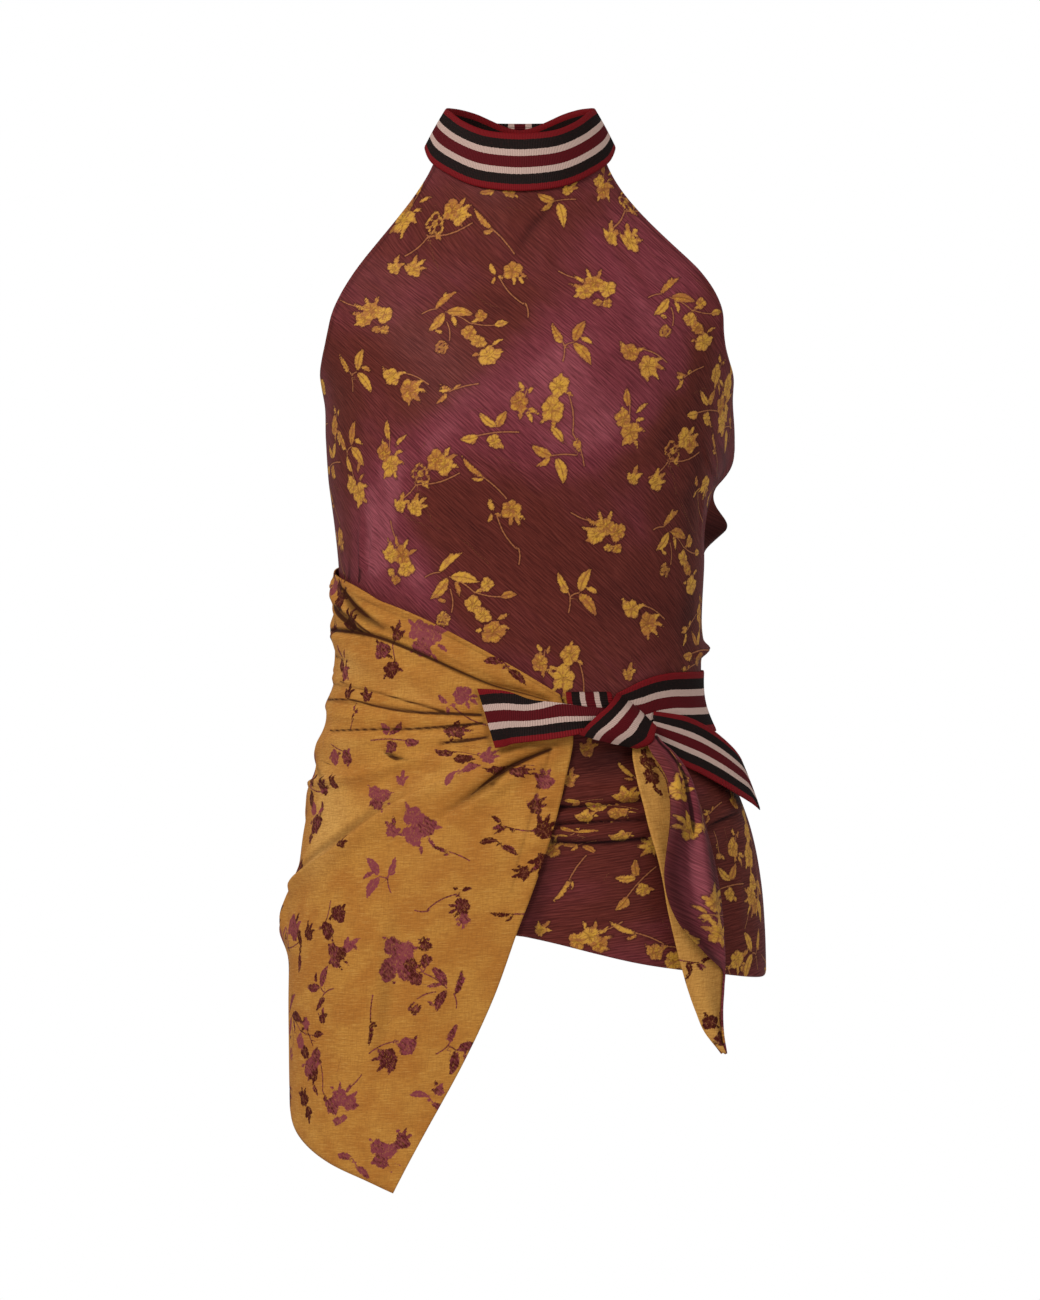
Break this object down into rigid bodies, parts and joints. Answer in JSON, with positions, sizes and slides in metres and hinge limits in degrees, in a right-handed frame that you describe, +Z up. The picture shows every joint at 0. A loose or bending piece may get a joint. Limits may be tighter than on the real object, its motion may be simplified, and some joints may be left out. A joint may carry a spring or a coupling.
{
  "type": "wrap top",
  "caption": "Halter-neck top with a striped ribbon stand collar, a low back and a contrast side panel wrapped across the front to a ribbon knot at the waist.",
  "frame": {"origin": "middle of the neck opening inside the collar, where a neck or a stand's neck holds the garment up", "axes": "+Z up along the neck, -Y towards the garment's front, +X to the right of someone who looks at its front; worn upright"},
  "size_m": [0.3425, 0.2388, 0.7522],
  "materials": {
    "jacquard_face": "satin jacquard, burgundy brown with gold sprigs",
    "jacquard_reverse": "reverse of the same jacquard, gold with burgundy sprigs",
    "ribbon": "ribbed grosgrain with lengthwise stripes in red, black, cream and burgundy"
  },
  "bodies": {
    "root": {"front_panel": "jacquard_face", "back_panel": "jacquard_face", "wrap_panel": "jacquard_reverse", "collar": "ribbon", "collar_knot": "ribbon", "collar_end_left": "ribbon", "collar_end_right": "ribbon", "waist_ribbon": "ribbon", "ribbon_end_left": "ribbon", "ribbon_end_right": "ribbon", "knot_band": "ribbon", "knot_loop": "ribbon", "fabric_tail": "jacquard_face"}
  },
  "joints": []
}
